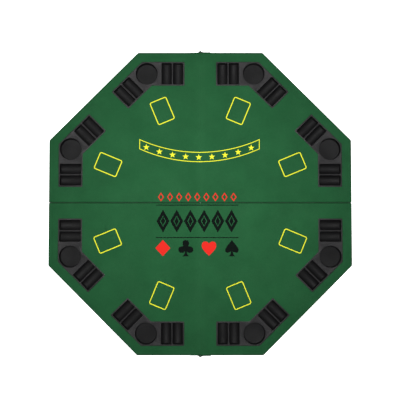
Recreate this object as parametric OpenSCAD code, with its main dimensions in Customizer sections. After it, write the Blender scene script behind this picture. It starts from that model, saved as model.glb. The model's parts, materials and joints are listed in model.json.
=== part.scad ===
// Folding octagonal card table top. Four hollow panels carry one cloth for each half, and eight
// moulded trays hold chips and cups. Each half folds cloth to cloth on a pair of rivet pivots,
// and the two halves fold back to back on butt hinges under the left-hand panels.
// +X points to the right, +Y to the rear and +Z up. The pads stand on z = 0.

/* [Table] */
// Size across the flats of the octagon, over the cloth
flats = 1219.2; // [1000:0.1:1600]
// Gap between the front and the rear half, over the cloth
seam_gap = 1; // [0.6:0.1:3]
// Gap between the boards at the fold, which only the cloth bridges
fold_gap = 6; // [4:0.5:12]

/* [Boards] */
// Thickness of the base board
base_t = 3; // [2:0.5:6]
// Thickness of the deck board
deck_t = 6; // [4:0.5:12]
// Width of the frame rails
rail_w = 18; // [12:1:24]
// Width of the diagonal brace in each panel
brace_w = 30; // [15:1:60]
// Step that eases the top edge of the deck under the cloth
edge_step = 1.5; // [0.5:0.1:3]

/* [Cloth] */
// Thickness of the cloth
cloth_t = 1; // [0.6:0.1:2]
// Width of the hem that is trapped between the rails and the base board
hem_w = 14; // [6:1:30]

/* [Pads] */
// Height of the rubber pads
pad_h = 5; // [4:0.1:8]
// Diameter of the rubber pads
pad_d = 24; // [12:1:34]

/* [Trays] */
// Distance from the table's edge to a tray's edge
tray_inset = 38.5; // [26:0.5:70]
// Width of the rim beside a cup or the longest chip slot
rim_w = 5; // [4:0.5:12]
// Thickness of the flange that lies on the cloth
flange_t = 1.6; // [1:0.1:3]
// Thickness of a tray's walls and floors
wall_t = 1.6; // [1:0.1:2.5]
// Width of a chip slot, along the arm
slot_w = 41; // [34:0.5:50]
// Length of a chip slot, across the arm
slot_l = 86; // [60:1:110]
// Rib between two slots
slot_rib = 5; // [4:0.5:15]
// Rim at the end of an arm
end_rim = 6; // [4:0.5:15]
// Diameter of a cup well
cup_d = 87; // [60:1:110]
// Flat between a cup well and the nearest slot
cup_rib = 16.6; // [8:0.1:40]
// How far a slot's round bottom is sunk below a half circle
slot_sink = 0.3; // [0:0.1:4]

/* [Fold pivots] */
// Thickness of a pivot plate
plate_t = 1.5; // [1:0.1:3]
// Radius of the ear round the rivet
ear_r = 4.8; // [3.5:0.1:8]
// Radius of the rivet's shank
rivet_r = 2; // [1.2:0.1:3]
// Length of a plate's foot along the table's edge
foot_l = 36; // [24:1:70]
// Height of a plate's foot
foot_h = 13; // [9:0.5:20]
// Space between the tray flanges of two panels that are folded together
fold_clear = 1.2; // [0.6:0.1:5]

/* [Seam hinges] */
// Length of a hinge along the seam
leaf_l = 60; // [40:1:120]
// Width of one leaf
leaf_w = 20; // [15:1:50]
// Thickness of a leaf
leaf_t = 1.2; // [0.8:0.1:2]
// Distance from the fold to the nearer seam hinge
hinge_near = 120; // [60:5:200]
// Distance from the table's side to the further seam hinge
hinge_far = 110; // [60:5:200]
// Radius of the hinge pin
pin_r = 1; // [0.6:0.05:1.2]

/* [Screws] */
// Radius of a wood screw's shank
screw_r = 1.3; // [1:0.1:1.8]
// Length of a wood screw
screw_l = 13; // [8:1:16]

/* [Hidden] */
$fn = 64;

// Small clearances
fit = 0.05;         // round a shank or a screw
slip = 0.15;        // between faces that turn past each other
well_clear = 0.4;   // between a tray's walls and the deck
floor_clear = 0.2;  // between a tray's floor and the base board
nest_clear = 0.6;   // between the pads and the base board that they fold against
joint_gap = 0.1;    // between two rails where they meet
hairline = 0.02;    // between the solids of one tray
over = 1;           // how far a cut runs past a face

// Outline
apothem = flats / 2;
t22 = tan(22.5);
half_gap = fold_gap / 2;
seam_face = seam_gap / 2;
board_inset = cloth_t;
base_inset = 0.6;

// Heights, from the floor up
base_bottom = pad_h;
base_top = base_bottom + base_t;
well_depth = slot_w / 2 + slot_sink;
tray_top = base_top + floor_clear + wall_t + well_depth;
cloth_top = tray_top - flange_t;
deck_top = cloth_top - cloth_t;
deck_bottom = deck_top - deck_t;
rail_bottom = base_top + cloth_t;
well_floor = tray_top - well_depth;

// Trays, in the first quadrant
band_w = max(slot_l, cup_d) + 2 * rim_w;
band_out = apothem - tray_inset;
band_mid = band_out - band_w / 2;
cup_r = cup_d / 2;
cup_centre = [band_mid, band_mid * t22];
slots_end = cup_centre.y - cup_r - cup_rib;
band_end = slots_end - 2 * slot_w - slot_rib - end_rim;
seat_w = rim_w - wall_t - well_clear;

// Axes of the joints
fold_z = tray_top + fold_clear / 2;
seam_z = (pad_h - nest_clear) / 2;
barrel_r = seam_z - 0.3;

// Pivot plates
plate_face = apothem;
foot_x = half_gap + 3;
foot_z = (rail_bottom + deck_bottom) / 2 + 1;
ear_layer = plate_t + slip;
rivet_head_r = ear_r - 0.2;
rivet_head_t = 1.2;
rivet_tail_h = 0.9;
pivot_screw_x = [foot_x + 6, foot_x + foot_l - 6];
pivot_screw_z = foot_z;
screw_head_r = 2 * screw_r;
screw_head_h = 1.1;

// Seam hinges
knuckles = 5;
knuckle_l = leaf_l / knuckles;
hinge_x = [hinge_near, apothem - hinge_far];
leaf_screw_y = seam_face + cloth_t + rail_w / 2;
leaf_screw_x = leaf_l / 2 - 9;

// Pads stand where no pad of the other half folds onto them
front_pads = [[70, 130], [apothem - 50, 70], [0.65 * apothem, 0.61 * apothem], [80, apothem - 45]];
rear_pads = [[110, 90], [apothem - 80, 115], [0.59 * apothem, 0.67 * apothem], [130, apothem - 80]];

wood = "burlywood";
steel = "silver";

// A point on the other side of the line from the centre to the vertex beside the right-hand edge
function across(p) = [(p.x + p.y) / sqrt(2), (p.x - p.y) / sqrt(2)];

// Outline of one panel, d in from the octagon's edge, s from the seam and f from the fold
function panel_points(d, s, f) =
    let (a = apothem - d)
    [[f, s], [a, s], [a, a * t22], [a * t22, a], [f, a]];

// Outline of a tray's bent band, d in from its edge
function band_points(d) =
    let (o = band_out - d, n = band_out - band_w + d, e = band_end + d)
    [[o, e], [o, o * t22], across([o, e]), across([n, e]), [n, n * t22], [n, e]];

module slab(z0, z1) {
    translate([0, 0, z0])
        linear_extrude(z1 - z0)
            children();
}

// Every panel is a mirror image of the one in the first quadrant
module quarter(sx, sy) {
    mirror([sx < 0 ? 1 : 0, 0, 0])
        mirror([0, sy < 0 ? 1 : 0, 0])
            children();
}

// The tray at the end edge is the side tray turned over the 45 degree line
module end_side() {
    mirror([1, -1, 0])
        children();
}

module both_arms() {
    children();
    mirror([-sin(22.5), cos(22.5), 0])
        children();
}

module block(x0, x1, y0, y1, z0, z1) {
    translate([x0, y0, z0])
        cube([x1 - x0, y1 - y0, z1 - z0]);
}

// ---- screws ----

module wood_screw() {
    cylinder(h = screw_l, r = screw_r);
    cylinder(h = screw_head_h, r1 = screw_head_r, r2 = screw_r);
}

module screw_hole() {
    cylinder(h = screw_l + over, r = screw_r + fit);
    cylinder(h = screw_head_h, r1 = screw_head_r + fit, r2 = screw_r + fit);
    translate([0, 0, -over])
        cylinder(h = over, r = screw_head_r + fit);
}

// In the first quadrant, for a plate whose outer face is t from the table's edge
module at_pivot_screws(t) {
    for (x = pivot_screw_x)
        translate([x, plate_face + t, pivot_screw_z])
            rotate([90, 0, 0])
                children();
}

module at_hinge_screws() {
    for (x = hinge_x, e = [-leaf_screw_x, leaf_screw_x])
        translate([x + e, leaf_screw_y, base_bottom - leaf_t])
            children();
}

// ---- one panel, in the first quadrant ----

module base_board(hinged) {
    color("dimgray")
        difference() {
            slab(base_bottom, base_top)
                polygon(panel_points(base_inset, seam_face + base_inset, half_gap));
            if (hinged)
                at_hinge_screws()
                    screw_hole();
        }
}

// The three rails under the octagon's edge, mitred where they meet
module rim_rails(t) {
    color(wood)
        difference() {
            slab(rail_bottom, deck_bottom)
                difference() {
                    polygon(panel_points(board_inset, seam_face + cloth_t + rail_w, half_gap + rail_w));
                    polygon(panel_points(board_inset + rail_w, -over, -over));
                    mitre_cuts();
                }
            at_pivot_screws(t)
                screw_hole();
        }
}

module mitre_cuts() {
    for (a = [22.5, 67.5])
        rotate(a)
            translate([apothem / 2, -joint_gap / 2])
                square([apothem, joint_gap]);
}

module seam_rail(hinged) {
    y0 = seam_face + cloth_t;
    color(wood)
        difference() {
            block(half_gap + rail_w, apothem - board_inset, y0, y0 + rail_w, rail_bottom, deck_bottom);
            if (hinged)
                at_hinge_screws()
                    screw_hole();
        }
}

module fold_rail(t) {
    color(wood)
        difference() {
            block(half_gap, half_gap + rail_w, seam_face + cloth_t, apothem - board_inset,
                rail_bottom, deck_bottom);
            at_pivot_screws(t)
                screw_hole();
        }
}

// The brace lies along the diagonal, between the trays
module brace() {
    inner = (half_gap + rail_w) * sqrt(2) + brace_w / 2 + joint_gap;
    outer = apothem - board_inset - rail_w - joint_gap;
    color(wood)
        rotate(45)
            block(inner, outer, -brace_w / 2, brace_w / 2, base_top, deck_bottom);
}

module tray_holes(z0, z1) {
    slab(z0, z1)
        polygon(band_points(seat_w));
    end_side()
        slab(z0, z1)
            polygon(band_points(seat_w));
}

module deck() {
    s = seam_face + cloth_t;
    color("peru")
        difference() {
            union() {
                slab(deck_bottom, deck_top - edge_step)
                    polygon(panel_points(board_inset, s, half_gap));
                slab(deck_top - edge_step, deck_top)
                    polygon(panel_points(board_inset + edge_step, s + edge_step, half_gap));
            }
            tray_holes(deck_bottom - over, deck_top + over);
        }
}

// The cloth covers the deck and the outer faces, and its hem lies on the base board
module cloth(t, hinged) {
    color("seagreen")
        difference() {
            slab(base_top, cloth_top)
                polygon(panel_points(0, seam_face, slip / 2));
            slab(rail_bottom, deck_top)
                polygon(panel_points(cloth_t, seam_face + cloth_t, -over));
            slab(base_top - over, rail_bottom + over)
                polygon(panel_points(hem_w, seam_face + hem_w, -over));
            block(-over, half_gap, -over, apothem + over, base_top - over, deck_top);
            tray_holes(deck_top - over, cloth_top + over);
            at_pivot_screws(t)
                screw_hole();
            if (hinged)
                at_hinge_screws()
                    screw_hole();
        }
}

module pads(places) {
    color("black")
        for (p = places)
            translate([p.x, p.y, 0])
                cylinder(h = pad_h, d = pad_d);
}

// ---- trays ----

// Two slots of one arm, grown by g. Each has straight sides above and a round bottom
module slots(g, top) {
    for (i = [0, 1])
        translate([band_mid, slots_end - slot_w / 2 - i * (slot_w + slot_rib), well_floor + slot_w / 2]) {
            rotate([0, 90, 0])
                cylinder(h = slot_l + 2 * g, r = slot_w / 2 + g, center = true);
            translate([-slot_l / 2 - g, -slot_w / 2 - g, 0])
                cube([slot_l + 2 * g, slot_w + 2 * g, top - well_floor - slot_w / 2]);
        }
}

// A hairline across the flange keeps each arm a simple solid of its own, beside the cup's
module arm_line() {
    block(band_mid - band_w, band_mid + band_w, slots_end + 2 * wall_t, slots_end + 2 * wall_t + hairline,
        well_floor, tray_top + over);
}

module at_cup() {
    translate([cup_centre.x, cup_centre.y, 0])
        children();
}

module tray() {
    color([0.2, 0.2, 0.21])
        difference() {
            intersection() {
                union() {
                    slab(cloth_top, tray_top)
                        polygon(band_points(0));
                    both_arms()
                        slots(wall_t, tray_top);
                    at_cup()
                        translate([0, 0, well_floor - wall_t])
                            cylinder(h = well_depth + wall_t, r = cup_r + wall_t, $fn = 128);
                }
                slab(well_floor - wall_t, tray_top)
                    polygon(band_points(0));
            }
            both_arms() {
                slots(0, tray_top + over);
                arm_line();
            }
            at_cup()
                translate([0, 0, well_floor])
                    cylinder(h = well_depth + over, r = cup_r, $fn = 128);
        }
}

// ---- fold pivots, in the first quadrant ----

// Flat outline of a plate: a foot on the edge and a neck up to the ear
module plate_outline() {
    translate([foot_x, foot_z - foot_h / 2])
        square([foot_l, foot_h]);
    neck_outline();
}

module neck_outline() {
    translate([0, fold_z])
        circle(r = ear_r);
    polygon([
        [foot_x + ear_r + 2, foot_z + foot_h / 2 - 3],
        [foot_x + ear_r + 2, foot_z + foot_h / 2],
        [0, fold_z + ear_r],
        [-ear_r, fold_z],
        [foot_x - 1, foot_z]
    ]);
}

module plate_slab(t0, t1) {
    translate([0, plate_face + t1, 0])
        rotate([90, 0, 0])
            linear_extrude(t1 - t0)
                children();
}

// The axis of a rivet, pointing out of the table's edge from the face of the cloth
module at_rivet() {
    translate([0, plate_face, fold_z])
        rotate([-90, 0, 0])
            children();
}

// The shank and the tail that is spread into the inner plate
module rivet_body(grow, h) {
    cylinder(h = h, r = rivet_r + grow);
    cylinder(h = rivet_tail_h, r1 = rivet_r + rivet_tail_h + grow, r2 = rivet_r + grow);
}

// The plate of the left-hand panels lies against the cloth
module inner_plate() {
    color(steel)
        difference() {
            plate_slab(0, plate_t)
                plate_outline();
            at_rivet()
                rivet_body(fit, plate_t + over);
            at_pivot_screws(plate_t)
                screw_hole();
        }
}

// The plate of the right-hand panels has a thick foot, so that its ear passes outside the other ear
module outer_plate() {
    color(steel)
        difference() {
            union() {
                plate_slab(ear_layer, ear_layer + plate_t)
                    plate_outline();
                plate_slab(0, ear_layer + plate_t)
                    translate([foot_x, foot_z - foot_h / 2])
                        square([foot_l, foot_h]);
            }
            at_rivet()
                cylinder(h = ear_layer + plate_t + over, r = rivet_r + fit);
            at_pivot_screws(ear_layer + plate_t)
                screw_hole();
        }
}

module rivet() {
    head_at = ear_layer + plate_t + slip;
    color(steel)
        at_rivet() {
            rivet_body(0, head_at + rivet_head_t / 2);
            translate([0, 0, head_at])
                cylinder(h = rivet_head_t, r1 = rivet_head_r, r2 = rivet_head_r * 0.7);
        }
}

module pivot_screws(t) {
    color(steel)
        at_pivot_screws(t)
            wood_screw();
}

// ---- seam hinges, in the first quadrant ----

// One leaf with the knuckles whose number is even or odd
module leaf(x, odd) {
    y0 = barrel_r + 0.4;
    color(steel)
        difference() {
            union() {
                block(x - leaf_l / 2, x + leaf_l / 2, y0, leaf_w, base_bottom - leaf_t, base_bottom);
                for (k = [odd : 2 : knuckles - 1])
                    translate([x - leaf_l / 2 + k * knuckle_l + slip / 2, 0, 0]) {
                        block(0, knuckle_l - slip, 0, y0 + over, base_bottom - leaf_t, base_bottom);
                        block(0, knuckle_l - slip, 0, barrel_r, seam_z, base_bottom - leaf_t / 2);
                        translate([0, 0, seam_z])
                            rotate([0, 90, 0])
                                cylinder(h = knuckle_l - slip, r = barrel_r);
                    }
            }
            translate([x - leaf_l, 0, seam_z])
                rotate([0, 90, 0])
                    cylinder(h = 2 * leaf_l, r = pin_r + fit);
            at_hinge_screws()
                screw_hole();
        }
}

module hinge_pin(x) {
    color(steel)
        translate([x - leaf_l / 2, 0, seam_z])
            rotate([0, 90, 0]) {
                cylinder(h = leaf_l, r = pin_r);
                for (z = [-1, leaf_l])
                    translate([0, 0, z])
                        cylinder(h = 1, r = barrel_r - 0.2);
            }
}

module hinge_screws() {
    color(steel)
        at_hinge_screws()
            wood_screw();
}

// How far the outer face of a pivot plate's foot stands from the table's edge
left_foot = plate_t;
right_foot = ear_layer + plate_t;

// ---- the four panels ----

quarter(-1, -1) base_board(true);  // front_left_base
quarter(1, -1) base_board(false);  // front_right_base
quarter(-1, 1) base_board(true);  // rear_left_base
quarter(1, 1) base_board(false);  // rear_right_base

quarter(-1, -1) rim_rails(left_foot);  // front_left_rim_rails
quarter(1, -1) rim_rails(right_foot);  // front_right_rim_rails
quarter(-1, 1) rim_rails(left_foot);  // rear_left_rim_rails
quarter(1, 1) rim_rails(right_foot);  // rear_right_rim_rails

quarter(-1, -1) seam_rail(true);  // front_left_seam_rail
quarter(1, -1) seam_rail(false);  // front_right_seam_rail
quarter(-1, 1) seam_rail(true);  // rear_left_seam_rail
quarter(1, 1) seam_rail(false);  // rear_right_seam_rail

quarter(-1, -1) fold_rail(left_foot);  // front_left_fold_rail
quarter(1, -1) fold_rail(right_foot);  // front_right_fold_rail
quarter(-1, 1) fold_rail(left_foot);  // rear_left_fold_rail
quarter(1, 1) fold_rail(right_foot);  // rear_right_fold_rail

quarter(-1, -1) brace();  // front_left_brace
quarter(1, -1) brace();  // front_right_brace
quarter(-1, 1) brace();  // rear_left_brace
quarter(1, 1) brace();  // rear_right_brace

quarter(-1, -1) deck();  // front_left_deck
quarter(1, -1) deck();  // front_right_deck
quarter(-1, 1) deck();  // rear_left_deck
quarter(1, 1) deck();  // rear_right_deck

quarter(-1, -1) cloth(left_foot, true);  // front_left_cloth
quarter(1, -1) cloth(right_foot, false);  // front_right_cloth
quarter(-1, 1) cloth(left_foot, true);  // rear_left_cloth
quarter(1, 1) cloth(right_foot, false);  // rear_right_cloth

quarter(-1, -1) tray();  // front_left_side_tray
quarter(1, -1) tray();  // front_right_side_tray
quarter(-1, 1) tray();  // rear_left_side_tray
quarter(1, 1) tray();  // rear_right_side_tray

quarter(-1, -1) end_side() tray();  // front_left_end_tray
quarter(1, -1) end_side() tray();  // front_right_end_tray
quarter(-1, 1) end_side() tray();  // rear_left_end_tray
quarter(1, 1) end_side() tray();  // rear_right_end_tray

quarter(-1, -1) pads(front_pads);  // front_left_pads
quarter(1, -1) pads(front_pads);  // front_right_pads
quarter(-1, 1) pads(rear_pads);  // rear_left_pads
quarter(1, 1) pads(rear_pads);  // rear_right_pads

// ---- the fold pivots ----

quarter(-1, -1) inner_plate();  // front_left_pivot_plate
quarter(-1, 1) inner_plate();  // rear_left_pivot_plate
quarter(1, -1) outer_plate();  // front_right_pivot_plate
quarter(1, 1) outer_plate();  // rear_right_pivot_plate
quarter(-1, -1) rivet();  // front_pivot_rivet
quarter(-1, 1) rivet();  // rear_pivot_rivet
quarter(-1, -1) pivot_screws(left_foot);  // front_left_pivot_screws
quarter(1, -1) pivot_screws(right_foot);  // front_right_pivot_screws
quarter(-1, 1) pivot_screws(left_foot);  // rear_left_pivot_screws
quarter(1, 1) pivot_screws(right_foot);  // rear_right_pivot_screws

// ---- the seam hinges ----

quarter(-1, -1) leaf(hinge_x[0], 0);  // seam_hinge_1_front_leaf
quarter(-1, 1) leaf(hinge_x[0], 1);  // seam_hinge_1_rear_leaf
quarter(-1, -1) hinge_pin(hinge_x[0]);  // seam_hinge_1_pin
quarter(-1, -1) leaf(hinge_x[1], 0);  // seam_hinge_2_front_leaf
quarter(-1, 1) leaf(hinge_x[1], 1);  // seam_hinge_2_rear_leaf
quarter(-1, -1) hinge_pin(hinge_x[1]);  // seam_hinge_2_pin
quarter(-1, -1) hinge_screws();  // front_hinge_screws
quarter(-1, 1) hinge_screws();  // rear_hinge_screws
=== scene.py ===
import json
import math

import bmesh
import bpy
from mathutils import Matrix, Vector


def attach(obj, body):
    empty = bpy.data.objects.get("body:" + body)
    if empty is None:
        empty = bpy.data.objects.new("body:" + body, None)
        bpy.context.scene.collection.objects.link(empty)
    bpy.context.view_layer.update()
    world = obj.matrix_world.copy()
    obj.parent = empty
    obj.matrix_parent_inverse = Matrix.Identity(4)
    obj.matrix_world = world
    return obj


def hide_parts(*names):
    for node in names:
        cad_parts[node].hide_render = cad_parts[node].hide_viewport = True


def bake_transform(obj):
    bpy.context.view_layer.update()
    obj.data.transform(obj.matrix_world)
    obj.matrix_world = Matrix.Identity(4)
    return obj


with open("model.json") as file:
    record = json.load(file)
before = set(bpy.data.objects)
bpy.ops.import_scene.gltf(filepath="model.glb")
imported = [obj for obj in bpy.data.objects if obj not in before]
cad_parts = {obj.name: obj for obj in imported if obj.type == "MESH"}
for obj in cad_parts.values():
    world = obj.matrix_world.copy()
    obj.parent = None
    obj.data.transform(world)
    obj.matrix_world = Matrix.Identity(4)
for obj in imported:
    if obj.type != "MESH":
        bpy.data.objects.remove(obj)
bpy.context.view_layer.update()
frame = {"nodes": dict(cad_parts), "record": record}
nodes = frame["nodes"]
mm = 0.001
near = 1e-5     # metres: places closer than this count as the same
print("frame loaded:", len(nodes), "nodes")

# Places that several pieces share, in millimetres
table = {
    "apothem": 609.6,
    "clothTop": 29.0,
    "clothThick": 1.0,
    "trayTop": 30.6,
    "baseTop": 8.0,
    "seamFace": 0.06,     # the naps of the two cloths nearly meet
    "foldGap": 3.0,       # half the gap between the boards at the fold
    "foldColumns": 8,     # strips that bend across the fold
}
quarters = ("rear_right", "rear_left", "front_left", "front_right")
halves = {"rear": 1, "front": -1}


# Selects one object and makes it the active one
def only(obj):
    bpy.ops.object.select_all(action="DESELECT")
    obj.select_set(True)
    bpy.context.view_layer.objects.active = obj
    return obj


def edit(obj):
    only(obj)
    bpy.ops.object.mode_set(mode="EDIT")
    bpy.ops.mesh.select_all(action="SELECT")


def leave():
    bpy.ops.object.mode_set(mode="OBJECT")
    return bpy.context.object


# Where a vertex, edge or face is
def middle(part):
    if isinstance(part, bmesh.types.BMVert):
        return part.co
    return sum((v.co for v in part.verts), Vector()) / len(part.verts)


# Selects the vertices, edges or faces that pass the test
def pick(kind, test):
    bpy.ops.mesh.select_mode(type=kind)
    bpy.ops.mesh.select_all(action="DESELECT")
    mesh = bmesh.from_edit_mesh(bpy.context.object.data)
    mesh.normal_update()
    parts = {"VERT": mesh.verts, "EDGE": mesh.edges, "FACE": mesh.faces}[kind]
    chosen = [part for part in parts if test(part)]
    for part in chosen:
        part.select_set(True)
    bmesh.update_edit_mesh(bpy.context.object.data)


# Cuts the whole mesh with a plane; keep is +1 or -1 for the side along the normal that stays, 0 for both
def planeCut(point, normal, keep=0, fill=False):
    bpy.ops.mesh.select_mode(type="VERT")
    bpy.ops.mesh.select_all(action="SELECT")
    bpy.ops.mesh.bisect(
        plane_co=point, plane_no=normal, use_fill=fill,
        clear_inner=keep > 0, clear_outer=keep < 0, threshold=1e-6)


def modify(obj, kind, **values):
    only(obj)
    modifier = obj.modifiers.new(kind.title(), kind)
    for key, value in values.items():
        setattr(modifier, key, value)
    bpy.ops.object.modifier_apply(modifier=modifier.name)
    return obj


# Takes the tools' shapes out of obj and removes the tools
def cut(obj, *tools):
    for tool in tools:
        modify(obj, "BOOLEAN", operation="DIFFERENCE", solver="EXACT", object=tool)
        bpy.data.objects.remove(tool)
    return obj


def settle(obj):
    only(obj)
    bpy.ops.object.transform_apply(location=True, rotation=True, scale=True)
    return obj


# Turns and moves a piece, and leaves its object at the origin
def place(obj, move=(0, 0, 0), turn=(0, 0, 0)):
    obj.rotation_euler = turn
    obj.location = move
    return settle(obj)


def copyOf(obj, name):
    twin = obj.copy()
    twin.data = obj.data.copy()
    twin.name = twin.data.name = name
    bpy.context.scene.collection.objects.link(twin)
    return twin


def join(objs, name):
    only(objs[0])
    for obj in objs:
        obj.select_set(True)
    if len(objs) > 1:
        bpy.ops.object.join()
    obj = bpy.context.object
    obj.name = obj.data.name = name
    return obj


def smooth(obj, angle=35):
    only(obj)
    bpy.ops.object.shade_smooth_by_angle(angle=math.radians(angle))
    return obj


def spot(angle, radius):
    return Vector((radius * math.cos(angle), radius * math.sin(angle), 0))


# The panel that lies in that direction from the centre
def quarterOf(angle):
    return quarters[int(math.degrees(angle) // 90) % 4]


# Adds one node; an input's value may be a number, a colour or another node's socket
def put(tree, kind, inputs=None, **settings):
    made = tree.nodes.new("ShaderNode" + kind)
    for key, value in settings.items():
        setattr(made, key, value)
    for key, value in (inputs or {}).items():
        if isinstance(value, bpy.types.NodeSocket):
            tree.links.new(value, made.inputs[key])
        else:
            made.inputs[key].default_value = value
    return made


# One Math node
def sums(tree, operation, *values):
    return put(tree, "Math", dict(enumerate(values)), operation=operation).outputs[0]


# Colour a where the mask is 0 and b where it is 1
def blendColour(tree, mask, a, b):
    return put(tree, "Mix", {0: mask, 6: a, 7: b}, data_type="RGBA").outputs[2]


# Maps a to b onto c to d
def ranged(tree, value, a, b, c=0.0, d=1.0, kind="SMOOTHSTEP"):
    return put(tree, "MapRange", {0: value, 1: a, 2: b, 3: c, 4: d}, interpolation_type=kind).outputs[0]


# An empty node group with named sockets; its inputs are (name, kind, first value)
def newGroup(name, inputs, outputs):
    group = bpy.data.node_groups.new(name, "ShaderNodeTree")
    for label, kind, value in inputs:
        made = group.interface.new_socket(label, in_out="INPUT", socket_type="NodeSocket" + kind)
        if value is not None:
            made.default_value = value
    for label in outputs:
        kind = "Color" if label == "Colour" else "Float"
        group.interface.new_socket(label, in_out="OUTPUT", socket_type="NodeSocket" + kind)
    return group, group.nodes.new("NodeGroupInput").outputs, group.nodes.new("NodeGroupOutput").inputs


def useGroup(tree, group, inputs):
    return put(tree, "Group", inputs, node_tree=group).outputs


# A material whose plain values stand on the shader's own sockets
def newMaterial(name, colour, shine):
    made = bpy.data.materials.new(name)
    made.use_nodes = True
    made.diffuse_color = colour
    shader = made.node_tree.nodes["Principled BSDF"]
    for key, value in shine.items():
        shader.inputs[key].default_value = value
    shader.inputs["Base Color"].default_value = colour
    return made, made.node_tree, shader


def bump(tree, shader, height, strength, distance):
    made = put(tree, "Bump", {"Height": height, "Strength": strength, "Distance": distance})
    tree.links.new(made.outputs[0], shader.inputs["Normal"])


def rgb(r, g, b):
    return (r, g, b, 1.0)


# Woven threads with a brushed nap over them; the vector is in metres along the cloth
weave, given, out = newGroup(
    "clothWeave", [("Vector", "Vector", None), ("Threads", "Float", 900.0), ("Nap", "Float", 0.5)],
    ["Shade", "Height"])
spread = put(weave, "VectorMath", {0: given["Vector"], "Scale": given["Threads"]},
             operation="SCALE").outputs[0]
part = put(weave, "SeparateXYZ", {0: spread}).outputs
warp = sums(weave, "SINE", sums(weave, "MULTIPLY", part[0], math.pi))
weft = sums(weave, "SINE", sums(weave, "MULTIPLY", part[1], math.pi))
threads = sums(weave, "ABSOLUTE", sums(weave, "MULTIPLY", warp, weft))
lean = put(weave, "VectorMath", {0: spread, 1: (1.0, 0.35, 1.0)}, operation="MULTIPLY").outputs[0]
fuzz = put(weave, "TexNoise", {"Vector": lean, "Scale": 0.8, "Detail": 3.0, "Roughness": 0.65}).outputs[0]
clump = put(weave, "TexNoise", {"Vector": spread, "Scale": 0.12, "Detail": 2.0}).outputs[0]
mixed = put(weave, "Mix", {0: given["Nap"], 2: threads, 3: fuzz}, data_type="FLOAT").outputs[0]
weave.links.new(mixed, out["Height"])
weave.links.new(sums(weave, "ADD", sums(weave, "MULTIPLY", mixed, 0.7), sums(weave, "MULTIPLY", clump, 0.3)),
                out["Shade"])

# Fine pebbling, as a mould or a thick enamel leaves it
pebble, given, out = newGroup(
    "finePebble", [("Vector", "Vector", None), ("Scale", "Float", 900.0)], ["Height", "Tone"])
cells = put(pebble, "TexVoronoi", {"Vector": given["Vector"], "Scale": given["Scale"]},
            feature="SMOOTH_F1").outputs["Distance"]
coarse = sums(pebble, "MULTIPLY", given["Scale"], 0.4)
waves = put(pebble, "TexNoise", {"Vector": given["Vector"], "Scale": coarse, "Detail": 2.0}).outputs[0]
pebble.links.new(sums(pebble, "ADD", cells, waves), out["Height"])
broad = put(pebble, "TexNoise", {"Vector": given["Vector"], "Scale": 14.0, "Detail": 4.0}).outputs[0]
pebble.links.new(broad, out["Tone"])

# Dust and lint, a mask that is thicker in some places than in others
dust, given, out = newGroup(
    "looseDust", [("Vector", "Vector", None), ("Scale", "Float", 700.0), ("Amount", "Float", 0.3)], ["Mask"])
specks = put(dust, "TexNoise", {"Vector": given["Vector"], "Scale": given["Scale"], "Detail": 3.0,
                                "Roughness": 0.7}).outputs[0]
drift = put(dust, "TexNoise", {"Vector": given["Vector"], "Scale": 9.0, "Detail": 2.0}).outputs[0]
both = sums(dust, "MULTIPLY", ranged(dust, specks, 0.52, 0.75), ranged(dust, drift, 0.35, 0.7))
dust.links.new(sums(dust, "MULTIPLY", both, given["Amount"]), out["Mask"])

# Long grain along X, as in planed wood; a pressed board uses it nearly unstretched
grain, given, out = newGroup(
    "woodGrain", [("Vector", "Vector", None), ("Stretch", "Float", 0.06), ("Scale", "Float", 60.0)],
    ["Tone", "Height"])
shape = put(grain, "CombineXYZ", {0: given["Stretch"], 1: 1.0, 2: 1.0}).outputs[0]
along = put(grain, "VectorMath", {0: given["Vector"], 1: shape}, operation="MULTIPLY").outputs[0]
rings = put(grain, "TexNoise", {"Vector": along, "Scale": given["Scale"], "Detail": 3.0,
                                "Distortion": 1.2}).outputs[0]
fibres = put(grain, "TexNoise", {"Vector": along, "Scale": sums(grain, "MULTIPLY", given["Scale"], 22.0),
                                 "Detail": 2.0}).outputs[0]
bands = sums(grain, "FRACT", sums(grain, "MULTIPLY", rings, 7.0))
grain.links.new(sums(grain, "ADD", sums(grain, "MULTIPLY", bands, 0.6), sums(grain, "MULTIPLY", fibres, 0.4)),
                out["Tone"])
grain.links.new(fibres, out["Height"])
print("node groups made")

# Green cloth, with painted shade where it rolls over an edge and along the seam, and a painted highlight
# along the fold
clothLook = {
    "shade": rgb(0.0058, 0.0480, 0.0155),
    "light": rgb(0.0118, 0.0760, 0.0262),
    # painted highlight: the lighter green of the strip along the crease at the fold
    "paintedCreaseHighlight": rgb(0.0200, 0.094, 0.0360),
    # painted shade: the darker green of the line where the cloth rolls over an edge or meets the seam
    "paintedEdgeShade": rgb(0.0014, 0.033, 0.0082),
    "lint": rgb(0.20, 0.27, 0.21),
    "lintScale": 420.0,
    "lintAmount": 0.10,
    "threads": 850.0,            # in each metre
    "nap": 0.62,                 # how far the brushed nap hides the threads
    "shine": {"Roughness": 0.93, "Sheen Weight": 0.08, "Sheen Roughness": 0.5, "Specular IOR Level": 0.10},
    "bump": (0.55, 0.0005),      # strength, and depth in metres
    "creaseWidth": 0.030,        # metres to each side of the fold
    "creaseHighlightAmount": 0.10,
    "paintedEdgeShadeBand": (0.0052, 0.0016),   # metres from an edge or the seam: where the painted shade line begins and where it is full
    "paintedEdgeShadeAmount": 0.88,
}
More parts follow.
